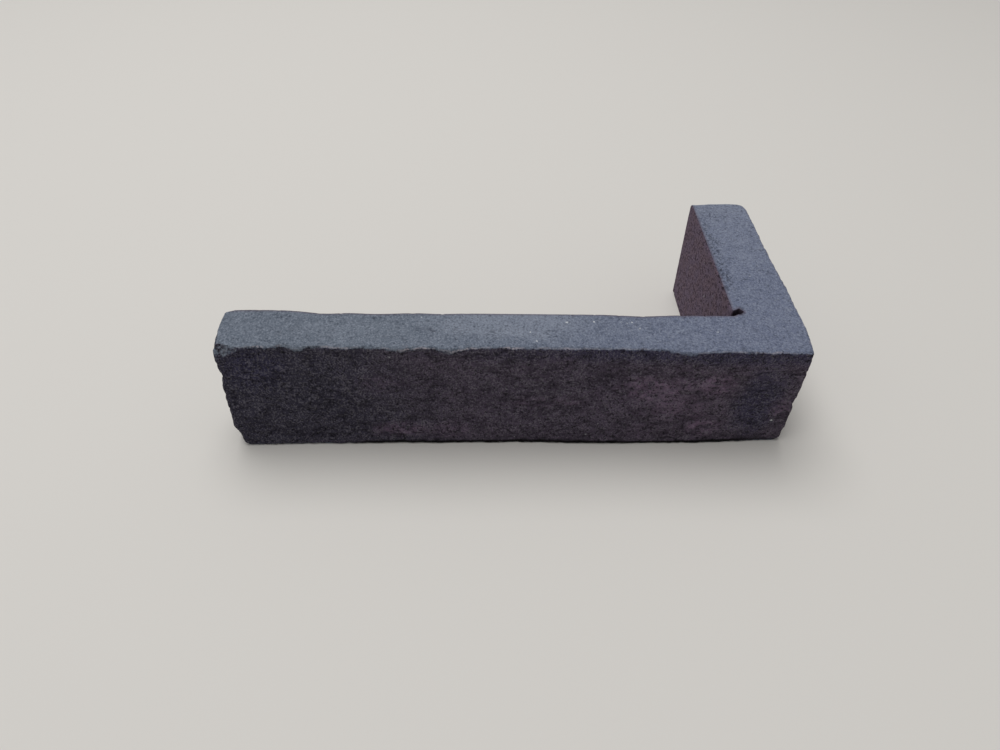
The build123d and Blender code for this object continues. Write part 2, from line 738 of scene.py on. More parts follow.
@dataclass(frozen=True)
class Relief:
    """The surface's own relief: its textures, and how far each stands proud, in millimetres.

    Attributes:
        lumps, broad, waves: Lumps of every face, from small to wide.
        folds: Level and slanting folds of the moulded faces.
        pores, pits: Small and large pits.
        spalls: Grains that the blade tore out at the sawn arrises.
        torn: Pits of the torn rims, which stray by torn_stray.
        rim: Lumps of the moulded arrises.
        wobble: How the arrises' rounding varies.
        moulded, bed, sawn: Heights of these textures on each kind of face.
        rim_height, rim_shift: The same for the moulded arrises.
        fold_height, spall_depth, torn_depth: The same for the folds, the spalls and the torn rims.
        calm: How much smoother the upright at the wall's corner is, within calm_reach.
    """

    lumps: Lumps = Lumps(11, 3.4)
    broad: Lumps = Lumps(13, 9.0, 2, 0.5)
    waves: Lumps = Lumps(19, 26.0, 1)
    folds: tuple[Folds, ...] = each(
        Folds, (61, 24, (11, 11, 3.4)), (67, -30, (9, 9, 3)), (71, 3, (13, 13, 3)))
    pores: Pits = Pits(23, 2.6, 0.45, 0.4, 0.9)
    pits: Pits = Pits(29, 7.0, 0.35, 0.7, 1.5)
    spalls: Pits = Pits(31, 3.4, 0.6, 0.9, 2.1)
    torn: Pits = Pits(97, 3.0, 0.6, 0.8, 1.7)
    rim: Lumps = Lumps(37, 2.8)
    wobble: Lumps = Lumps(7, 7.0, 3, 0.6)
    moulded: Skin = Skin(0.34, 0.16, 0.2, 0.0, 0.45, -0.06)
    bed: Skin = Skin(0.12, 0.0, 0.12, 0.22, 0.3, -0.1)
    sawn: Skin = Skin(0.05, 0.0, 0.0, 0.3, 0.0, -0.02)
    rim_height: float = 0.34
    rim_shift: float = -0.06
    fold_height: float = 0.3
    spall_depth: float = 0.7
    torn_depth: float = 0.38
    torn_stray: float = 1.1
    calm: float = 0.45
    calm_reach: float = 7


@dataclass
class BrickSlip:
    """The one piece: its shape, its worn and sandy surface, and the marks that its finish reads.

    Attributes:
        bar: The bar of cells that is shaped.
        relief: The surface's own relief.
        front_fall, outer_fall: How far the two moulded faces fall back.
        swells, late_swells: Bumps and dents, before and after the knocks.
        run_downs: Where the bed's painted sheen runs down over the front's upper arris.
        arris_highlights: Where that arris carries a painted highlight, a pale line.
        cracks: Cracks of the front and of the upper bed.
        plum, cool, cold: The front's purple-brown, blacker and bluer patches.
        pale, torn, scored: The upper bed's pale, torn and scored patches.
        points, normals, quads: The mesh, as the steps of build() leave it.
        marks: What the finish reads, by name, on every point.
    """

    bar: BentBar
    relief: Relief = Relief()
    front_fall: Fall = Fall((0.1, 0.9, 1.6, 2.1, 1.7, 2.5, 4.0), (1.3, 2.4, 2.2, 2.5, 2.5, 1.1, 0.9))
    outer_fall: Fall = Fall((0.8, 0.9, 1.0, 1.2, 1.3, 1.2, 1.7), (1.1, 0.1, 0.4, 0.9, 1.4, 1.1, 1.8))
    swells: tuple[Swell, ...] = each(
        Swell,
        # The front's upper arris, from the free end to the wall's corner
        ((-98, -50, 48), (4, 6, 3), (0, -0.5, 0)), ((-90, -50, 48), (4, 6, 3), (0, 0.5, 0)),
        ((-80, -50, 48), (2.5, 6, 2.5), (0, 1.0, 0)), ((-75, -50, 47), (3, 6, 3), (0, -0.7, 0)),
        ((-60, -50, 48), (3, 6, 3), (0, -0.6, 0)), ((-41, -50, 48), (4, 6, 2.5), (0, -0.5, 0)),
        ((-22, -50, 48), (5, 6, 3.5), (0, -1.0, 0)), ((-10, -50, 48), (4, 6, 3), (0, 0.3, 0)),
        ((61, -50, 48), (5, 6, 3), (0, -0.8, 0)), ((74, -50, 48), (3, 6, 3), (0, 0.3, 0)),
        # The sawn back's upper arris
        ((-94, -30, 48), (13, 5, 6), (0, 1.1, 0)), ((-82, -30, 48), (6, 5, 5), (0, 0.4, 0)),
        ((-68, -30, 48), (6, 5, 5), (0, -0.8, 0)), ((-50, -30, 48), (9, 5, 5), (0, -0.7, 0)),
        ((-27, -30, 48), (6, 5, 5), (0, -0.4, 0)), ((46, -30, 48), (9, 5, 5), (0, -0.8, 0)),
        # The far end's upper arris, and the upper corner at the wall's corner
        ((94, 50, 48), (7, 3, 4), (0, 0.5, 0)), ((82, 50, 48), (4, 3, 4), (0, -0.6, 0)),
        ((105, -51, 48), (3, 3, 3), (-0.4, 0.3, -0.4)),
        # The front uprights
        ((-104.6, -50, 34.5), (5, 6, 3), (0.9, 0, 0)), ((-104.6, -48, 6), (5, 6, 1.3), (1.1, 0, 0)),
        ((-104.6, -48, 3.4), (5, 6, 1.2), (-0.5, 0, 0)), ((-104.6, -48, 15), (5, 6, 5), (0.3, 0, 0)),
        ((104.7, -48, 8), (5, 6, 9), (0.6, 0, 0)), ((104.7, -48, 22), (5, 6, 2), (-0.5, 0, 0)))
    late_swells: tuple[Swell, ...] = each(
        Swell,
        ((-102, -47, 6.0), (6, 6, 2.2), (0.6, 0, 0)), ((-101, -47, 2.9), (6, 6, 1.2), (-0.4, 0, 0)),
        ((-100, -47, 0.3), (6, 6, 1.1), (1.3, 0, 0)), ((-104, -37, 47), (3, 5, 3), (-0.5, 0, 0)))
    run_downs: tuple[Stretch, ...] = each(
        Stretch, (-75, 2.4, 1.7), (-41, 4, 1.4), (-22, 5, 1.4), (61, 5, 1.3))
    arris_highlights: tuple[Stretch, ...] = each(
        Stretch, (-89, 2.2, 1.0), (-34, 6, 1.0), (-18, 5, 1.0), (-1.5, 3, 0.9), (-62, 5, 0.5),
        (86, 9, 0.4), (20, 12, 0.35))
    cracks: tuple[Crack, ...] = each(
        Crack, ((-103, 33.6), (-97, 33.8)), ((-98, 33.8), (-92, 32.4)), ((-86, 31.5), (-86.3, 27)),
        ((84, 33.6), (90, 33.2), 0.4, 0.3, BED), ((84, 42), (88, 45), 0.4, 0.25, BED),
        ((83, 38), (87, 41.5), 0.4, 0.25, BED), ((81.3, 33), (83.2, 24), 0.45, 0.4, BED),
        ((83.2, 23), (83.4, 14), 0.5, 0.45, BED), ((83.4, 13), (85, 7), 0.45, 0.35, BED),
        ((83.5, 3), (82, -8), 0.45, 0.35, BED), ((85, 1), (84.2, -6), 0.4, 0.25, BED))
    plum: tuple[Patch, ...] = each(
        Patch, ((48, 29.5), (9, 5), 0.75), ((73, 32), (7, 5), 0.8), ((72, 9.5), (5, 5), 0.85),
        ((61, 21), (12, 7), 0.45), ((100, 19), (4, 5), 0.55), ((33, 21), (14, 8), 0.1),
        ((-43, 8), (8, 3.5), 0.6), ((-47, 31), (8, 4), 0.2), ((60, 31), (5, 4), 0.35),
        ((10, 22), (12, 3), 0.3), ((-24, 8), (8, 4), 0.3))
    cool: tuple[Patch, ...] = each(
        Patch, ((90, 22), (8, 15), 0.55), ((-83, 26), (20, 18)), ((22, 24), (26, 20), 0.25))
    cold: tuple[Patch, ...] = each(Patch, ((91, 22), (8, 17), 0.8), ((-92, 38), (10, 8), 0.8))
    pale: tuple[Patch, ...] = each(
        Patch, ((-3, -36), (24, 8), 1.3, BED), ((92, 30), (18, 26), 0.4, BED),
        ((-60, -40), (16, 6), 0.24, BED), ((92, 48), (18, 9), 0.45, BED))
    torn: tuple[Patch, ...] = each(
        Patch, ((82.6, -5), (2.2, 9), 1.0, BED), ((83, 17), (2.2, 14), 1.0, BED),
        ((88, 40), (5, 5), 0.35, BED), ((81.5, 34), (1.5, 5), 0.7, BED))
    scored: tuple[Patch, ...] = each(
        Patch, ((-31, -40), (5, 2), 1.0, BED), ((-18.5, -42), (4, 2.4), 1.0, BED),
        ((-7, -42), (4, 3.5), 1.0, BED), ((12, -41.5), (6, 2.6), 0.9, BED),
        ((87, 42), (7, 6), 0.3, BED), ((-84, -38), (12, 6), 0.35, BED))
    points: Array = field(init=False)
    normals: Array = field(init=False)
    quads: Array = field(init=False)
    marks: dict[str, Array] = field(init=False, default_factory=dict)

    def build(self) -> bpy.types.Object:
        """Shapes the slip, step by step, and returns its object."""
        self.quads = self.bar.faces()
        self.round_arrises()
        self.settle_moulded_faces()
        self.knock_corners()
        self.roughen()
        self.paint_marks()
        return self.make_object()

    def on_front(self, points: Array, deep: float, near: float) -> Array:
        """1 on the front, up to near millimetres behind its envelope, and 0 from deep on."""
        front = self.bar.sizes.front
        return smoothstep(front + deep * MM, front + near * MM, points[:, 1])

    def round_arrises(self) -> None:
        """Rounds the arrises around both beds.

        A point within the radius of both the rim and a bed has the legs a and c to the arris's core,
        and both are scaled by radius / sqrt(a^2 + c^2), which puts it on the round.
        """
        s, bar = self.bar.sizes, self.bar
        along, across, up = bar.cell.T
        far, way, sawn = (values[along, across] for values in bar.rim_distance())
        rise = bar.crowd(bar.up)[up] * s.height
        place = np.column_stack([bar.plan[along, across], rise])
        wobble = self.relief.wobble.on(place * np.array([1.0, 1.0, 0.3]))
        radius = mix(sawn, s.moulded_arris * (1.0 + 0.45 * wobble), s.sawn_arris)
        depth = np.minimum(rise, s.height - rise)
        a, c = np.maximum(radius - far, 0.0), np.maximum(radius - depth, 0.0)
        scale = radius / np.maximum(np.hypot(a, c), TINY)
        pull = np.where((a > 0.0) & (c > 0.0), scale - 1.0, 0.0)
        place[:, :2] += way * (a * pull)[:, None]
        place[:, 2] += np.where(rise > s.height / 2.0, 1.0, -1.0) * c * pull
        place[:, 2] += s.foot
        self.points = place
        self.marks["sawn"] = sawn * (far < TINY)
        self.marks["brink"] = (depth - far) / MM - 8.0 * sawn
        near = smoothstep(2.6 * MM, 0.4 * MM, np.hypot(far, depth))
        self.marks["sawn_edge"] = near * smoothstep(0.4, 0.9, sawn)

    def settle_moulded_faces(self) -> None:
        """Moves the moulded faces back by their falls, which die away evenly to the sawn faces, and
        adds the swells and dents."""
        s, p = self.bar.sizes, self.points
        rise = np.clip((p[:, 2] - s.foot) / s.height, 0.0, 1.0)
        to_front = np.clip((s.sawn_back - p[:, 1]) / s.stretcher_leg, 0.0, 1.0)
        to_outer = np.clip((p[:, 0] - s.sawn_side) / s.header_leg, 0.0, 1.0)
        front_share = (p[:, 0] + s.half_length) / (2.0 * s.half_length)
        outer_share = (p[:, 1] + s.half_width) / (2.0 * s.half_width)
        p[:, 1] += self.front_fall.at(front_share, rise) * to_front
        p[:, 0] -= self.outer_fall.at(outer_share, rise) * to_outer
        for swell in self.swells:
            p = swell.move(p)
        self.points = p

    def knock_corners(self) -> None:
        """Knocks off the corners that the piece has lost, and wears what is left of them."""
        s = self.bar.sizes
        wall = s.wall_corner - self.outer_fall.foot[0] * MM
        free_head = (s.free_end, s.front + self.front_fall.head[0] * MM, s.head)
        free_foot = (s.free_end, s.front + self.front_fall.foot[0] * MM, s.foot)
        free_back = (s.free_end, s.sawn_back + 1.0 * MM, s.head)
        wall_foot = (wall, s.front + self.front_fall.foot[-1] * MM, s.foot)
        knocks = (
            (free_head, Knock((12.0, 2.8, -6.5), 0.25, 1.2)),
            (free_head, Knock((2.2, 14.0, -3.0), 0.25, 1.0)),
            (free_foot, Knock((4.5, 7.0, 13.0), 0.3)),
            (free_back, Knock((4.5, -1.9, -8.0), 0.2)),
            (wall_foot, Knock((-3.8, 3.0, 3.0), 0.3)),
            (wall_foot, Knock((-0.9, 1.6, 12.0), 0.2)),
        )
        for number, (corner, knock) in enumerate(knocks, start=1):
            self.points, broken = knock.cut(self.points, corner, self.relief.wobble.seed + 31 * number)
            self.marks.setdefault("broken", broken)  # only the first knock shows in the bed's painted sheen
        for swell in self.late_swells:
            self.points = swell.move(self.points)

    def roughen(self) -> None:
        """Gives every face the relief that it has: sandy lumps, folds and pits on the moulded faces,
        a pitted strike on the beds, and a nearly flat cut with open pores on the sawn ones. The
        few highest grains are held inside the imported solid's box."""
        s, p, r = self.bar.sizes, self.points, self.relief
        normals = vertex_normals(p, self.quads)
        sawn, sawn_edge = self.marks["sawn"], self.marks["sawn_edge"]
        bed = smoothstep(0.55, 0.8, np.abs(normals[:, 2])) * (1.0 - sawn)
        moulded = (1.0 - sawn) * (1.0 - bed)
        rim = (1.0 - np.abs(2.0 * bed - 1.0)) * (1.0 - sawn)
        textures = [texture.on(p) for texture in (r.lumps, r.broad, r.waves, r.pores, r.pits)]
        lumps, broad, _, pores, pits = textures
        folds = np.max([fold.on(p) for fold in r.folds], axis=0)
        folds = folds * moulded * (1.0 - self.marks["broken"])
        on_head = bed * (p[:, 2] > s.height / 2.0)
        self.marks["torn"] = spread_all(self.torn, p) * on_head
        self.marks["scored"] = spread_all(self.scored, p) * on_head
        strayed = p + r.torn_stray * MM * Grain(101).swells(p, 2.4 * MM, 3)
        torn = r.torn.on(strayed) * self.marks["torn"]
        spalls = r.spalls.on(p) * (
            smoothstep(s.sawn_side - 4 * MM, s.sawn_side - 2 * MM, p[:, 0]) * 0.85 + 0.15)
        to_upright = np.hypot(p[:, 0] - s.wall_corner, p[:, 1] - s.front)
        calm = 1.0 - r.calm * np.exp(-((to_upright / (r.calm_reach * MM)) ** 2))
        height = moulded * r.moulded.height(*textures) * calm - r.fold_height * folds
        height += bed * r.bed.height(*textures) - r.torn_depth * torn
        height += rim * (r.rim_height * r.rim.on(p) + r.rim_shift) * calm
        height += sawn * r.sawn.height(*textures)
        faces = {FRONT: self.on_front(p, 6, 4) * moulded, BED: on_head}
        crack = np.max([line.trace(p) * faces[line.axes] for line in self.cracks], axis=0)
        height -= sawn_edge * r.spall_depth * spalls + crack
        self.points = p + normals * (height * MM)[:, None]
        self.normals = vertex_normals(self.points, self.quads)
        self.points = np.clip(self.points, s.low, s.high)
        kerf = np.minimum(p[:, 0] - s.sawn_side, p[:, 1] - s.sawn_back)
        kerf = smoothstep(0.3 * MM, 0.9 * MM, kerf) * sawn * (p[:, 1] < s.sawn_back + 6 * MM)
        # cavity_shade: painted shade in pores, pits, spalls, torn pits and the blade's kerf
        cavity_shade = pores * bed * 0.4 + pits * 0.45 * (1.0 - sawn) + 0.6 * spalls * sawn_edge
        self.marks["cavity_shade"] = np.clip(cavity_shade + 0.5 * torn + 0.9 * kerf, 0.0, 1.0)
        # fold: painted shade in the folds and cracks
        self.marks["fold"] = np.clip(folds + 3.0 * crack, 0.0, 1.0)
        # proud: the finish paints shade where this is low, between the lumps
        self.marks["proud"] = np.clip(0.5 + 0.55 * lumps + 0.35 * broad - 0.4 * pits, 0.0, 1.0)

    def paint_marks(self) -> None:
        """Works out what the finish reads from the mesh, on every point, from 0 to 1.

        bed is the beds' blue-grey tone, a painted sheen of light from above that is stronger where the
        surface faces up and fades within 2 mm past the beds' arrises, warm the browner part of the
        moulded faces, and violet the beds' end at the wall's corner. plum, cold and pale are patches;
        cold also carries painted shade in a band below the front's upper arris, where plum and warm are
        weaker. foot is a painted contact shadow, the dark line at the floor, and arris_highlight is a
        painted highlight on the front's upper arris.
        """
        s, p, marks = self.bar.sizes, self.points, self.marks
        x, y, z = p.T
        front = self.on_front(p, 5, 3)
        brink = marks.pop("brink") - 0.8 + 0.9 * Lumps(41, 3.0).on(p)
        outer = smoothstep(s.wall_corner - 4 * MM, s.wall_corner - 2 * MM, x)
        brink += 0.9 * outer * (y > s.front + 4 * MM)
        # the bed's painted sheen runs down over the front's upper arris at these stretches
        for run in self.run_downs:
            brink -= run.bell(p, 2) * (z > s.height / 2.0) * front
        # the first knock's broken face takes a mottled share of the painted sheen
        brink = mix(marks.pop("broken"), brink, 2.4 * Lumps(59, 2.2).on(p) - 0.25)
        # the painted sheen is stronger where the surface faces up, as light from above falls
        level = 0.4 * (np.abs(self.normals[:, 2]) - 0.5)
        marks["bed"] = np.clip(0.5 - brink / 3.4 + level, 0.0, 1.0) * (1.0 - marks["sawn"])
        share = x / s.half_length
        drift = Lumps(43, 30.0, 3, 0.55).on(p)
        # arris_shade_band: painted shade in a band below the upper arris, bluer and darker, with less plum
        # and warm
        arris_shade_band = smoothstep(9.0, 2.0, (s.head - z) / MM + 3.0 * drift)
        foot_band = smoothstep(7.0, 1.0, z / MM + 2.0 * drift)
        plum = sum(patch.spread(p) for patch in self.plum) * front
        plum += 0.12 * smoothstep(0.0, 0.5, drift) * smoothstep(-0.5, 0.4, share)
        plum = np.clip(plum, 0.0, 1.0)
        marks["plum"] = plum * (1.0 - 0.8 * arris_shade_band) * (1.0 - 0.6 * foot_band)
        marks["pale"] = spread_all(self.pale, p)
        # foot: painted contact shadow, a dark line along the front at the floor
        foot = smoothstep(2.4, 1.5, z / MM + 0.8 * drift)
        marks["foot"] = foot * smoothstep(-66 * MM, -52 * MM, x) * front
        # arris_highlight: painted highlight on stretches of the front's upper arris
        marks["arris_highlight"] = np.clip(sum(arris_highlight.bell(p, 4) for arris_highlight in self.arris_highlights), 0.0, 1.0) * front
        # cold: bluer patches, and painted shade in the band below the upper arris
        cold = arris_shade_band * smoothstep(-0.3, 0.5, share) + sum(patch.spread(p) for patch in self.cold)
        marks["cold"] = np.clip(cold, 0.0, 1.0) * front
        warm = smoothstep(-0.85, 0.1, share + 0.45 * drift) * (1.0 - 0.5 * arris_shade_band)
        marks["warm"] = np.clip(warm * (1.0 - spread_all(self.cool, p) * front), 0.0, 1.0)
        violet = x + 14 * MM * Lumps(47, 30.0, 1).on(p)
        marks["violet"] = smoothstep(-60 * MM, 90 * MM, violet)

    def make_object(self) -> bpy.types.Object:
        """Puts the arrays into a mesh with one object at the origin."""
        mesh = bpy.data.meshes.new("corner_brick_slip_mesh")
        mesh.vertices.add(len(self.points))
        mesh.vertices.foreach_set("co", self.points.astype(np.float32).ravel())
        mesh.loops.add(self.quads.size)
        mesh.loops.foreach_set("vertex_index", self.quads.astype(np.int32).ravel())
        mesh.polygons.add(len(self.quads))
        mesh.polygons.foreach_set("loop_start", np.arange(0, self.quads.size, 4, dtype=np.int32))
        mesh.polygons.foreach_set("use_smooth", np.ones(len(self.quads), bool))
        mesh.update(calc_edges=True)
        mesh.validate()
        for name, values in self.marks.items():
            layer = mesh.attributes.new(name, "FLOAT", "POINT")
            layer.data.foreach_set("value", values.astype(np.float32))
        return add_object("brick_slip", mesh)


def operator(operation: str, turned: bool = False) -> Callable[..., "Signal"]:
    """Makes the method of Signal that adds one kind of Math node.

    Args:
        operation: The node's operation.
        turned: Whether the other value comes first.

    Returns:
        The method, which takes the other value where the operation has one.
    """
    def apply(self: "Signal", *others: Union["Signal", Number]) -> "Signal":
        """Adds the node and gives back its output."""
        values = (self, *others)[::-1] if turned else (self, *others)
        return self.graph.node("ShaderNodeMath", {"operation": operation}, dict(enumerate(values)))

    return apply


@dataclass(frozen=True)
class Signal:
    """One output of a shader node, with arithmetic that adds Math nodes.

    Attributes:
        graph: The node tree that it belongs to.
        socket: The output itself.
    """

    graph: "Graph"
    socket: bpy.types.NodeSocket

    __add__ = __radd__ = operator("ADD")
    __mul__ = __rmul__ = operator("MULTIPLY")
    __sub__ = operator("SUBTRACT")
    __rsub__ = operator("SUBTRACT", turned=True)
    size = operator("ABSOLUTE")
    most = operator("MAXIMUM")

    def step(self, low: Number, high: Number) -> "Signal":
        """Rises smoothly from 0 at low to 1 at high."""
        return self.graph.node("ShaderNodeMapRange", {"interpolation_type": "SMOOTHSTEP"},
                               {"Value": self, "From Min": low, "From Max": high})


@dataclass(frozen=True)
class Graph:
    """A node tree and the one way in which nodes are added to it.

    Attributes:
        tree: The tree of a material or a world.
    """

    tree: bpy.types.NodeTree

    @classmethod
    def of(cls, owner: Union[bpy.types.Material, bpy.types.World]) -> "Graph":
        """The emptied node tree of a material or a world."""
        owner.use_nodes = True
        owner.node_tree.nodes.clear()
        return cls(owner.node_tree)

    def node(self, kind: str, settings: dict[str, Any], values: dict[Union[int, str], Any],
             output: Union[int, str] = 0) -> Signal:
        """Adds a node.

        Args:
            kind: The node's type.
            settings: Its own settings, set first.
            values: What its sockets hold, by number or name: a Signal is linked, and all else is set.
            output: The output that is given back.

        Returns:
            That output.
        """
        made = self.tree.nodes.new(kind)
        for name, value in settings.items():
            setattr(made, name, value)
        for key, value in values.items():
            socket = made.inputs[key]
            if isinstance(value, Signal):
                self.tree.links.new(value.socket, socket)
            else:
                socket.default_value = value
        return Signal(self, made.outputs[output])

    def mark(self, name: str) -> Signal:
        """Reads one of the mesh's own marks."""
        return self.node("ShaderNodeAttribute", {"attribute_name": name}, {}, "Fac")

    def vector(self, operation: str, values: dict[Union[int, str], Any], output: str = "Vector") -> Signal:
        """Adds a Vector Math node."""
        return self.node("ShaderNodeVectorMath", {"operation": operation}, values, output)

    def place(self) -> Signal:
        """The place on the object, in metres."""
        return self.node("ShaderNodeTexCoord", {}, {}, "Object")

    def stretch(self, place: Signal, by: Triple) -> Signal:
        """Scales a place by a number for each direction."""
        return self.vector("MULTIPLY", {0: place, 1: by})

    def lean(self, place: Signal, along: Triple, across: Triple, squeeze: float) -> Signal:
        """Gives a flat place along and across two directions.

        Args:
            place: The place in millimetres.
            along: The direction along which noise is to trail.
            across: The direction square to it.
            squeeze: The number by which the place along is scaled.

        Returns:
            The flat place.
        """
        x, y = (self.vector("DOT_PRODUCT", {0: place, 1: way}, "Value") for way in (along, across))
        return self.node("ShaderNodeCombineXYZ", {}, {"X": x * squeeze, "Y": y})

    def noise(self, place: Signal, size: float, detail: float = 2.0, rough: float = 0.5,
              skew: float = 0.0) -> Signal:
        """Cloudy noise from 0 to 1 whose lumps are about size millimetres wide."""
        return self.node("ShaderNodeTexNoise", {}, {
            "Vector": place, "Scale": 1.0 / size, "Detail": detail, "Roughness": rough, "Distortion": skew})

    def lay(self, ground: Union[Signal, Tone], *layers: tuple[Signal, Union[Signal, Tone]]) -> Signal:
        """Lays colours over a ground, one after another.

        Args:
            ground: The lowest colour.
            layers: How far each colour covers what is below it, and the colour.

        Returns:
            The colour that shows.
        """
        for share, tone in layers:
            ground = self.node("ShaderNodeMix", {"data_type": "RGBA"}, {0: share, 6: ground, 7: tone}, 2)
        return ground

    def dots(self, place: Signal, size: float, share: float, radius: float) -> Signal:
        """Round dots at scattered places: 1 inside a dot and 0 outside.

        Args:
            place: The place in millimetres.
            size: Spacing of the places in millimetres.
            share: Share of the places that hold a dot.
            radius: A dot's radius in millimetres.

        Returns:
            The dots.
        """
        values = {"Vector": place, "Scale": 1.0 / size}
        far, dice = (self.node("ShaderNodeTexVoronoi", {}, values, name) for name in ("Distance", "Color"))
        here = self.node("ShaderNodeSeparateColor", {}, {0: dice}).step(share + 0.01, share - 0.01)
        return far.step(radius / size * 1.15, radius / size * 0.7) * here

    def seen(self) -> Signal:
        """1 for what the camera sees, also in gloss and through glass, and 0 for the light itself."""
        camera, gloss, glass = (self.node("ShaderNodeLightPath", {}, {}, f"Is {ray} Ray")
                                for ray in ("Camera", "Glossy", "Transmission"))
        return camera.most(gloss).most(glass)

    def mixed(self, share: Signal, first: Signal, second: Signal) -> Signal:
        """Mixes two shaders."""
        return self.node("ShaderNodeMixShader", {}, {0: share, 1: first, 2: second})

    def finish(self, output: Output, shader: Signal) -> None:
        """Ends the tree in an output node of this kind."""
        self.tree.links.new(shader.socket, self.tree.nodes.new(output.value).inputs["Surface"])


def colour(red: int, green: int, blue: int) -> Tone:
    """Turns a screen colour of 0 to 255 into the linear numbers of a shader socket."""
    def linear(value: int) -> float:
        """Undoes the screen's curve for one channel."""
        v = value / 255.0
        return v / 12.92 if v <= 0.04045 else ((v + 0.055) / 1.055) ** 2.4

    return linear(red), linear(green), linear(blue), 1.0


@dataclass(frozen=True)
class Textures:
    """The patterns that the layers of the finish share.

    Attributes:
        place: The place on the piece, in millimetres.
        dragged: The same, trailing along the blade's way.
        fine, grains, coarse: Noises whose lumps are about 1, 0.6 and 3 millimetres wide.
        crease: 1 in the short level creases of the skin.
        over: 1 where the bed's painted sheen covers the skin, with a ragged rim.
    """

    place: Signal
    dragged: Signal
    fine: Signal
    grains: Signal
    coarse: Signal
    crease: Signal
    over: Signal


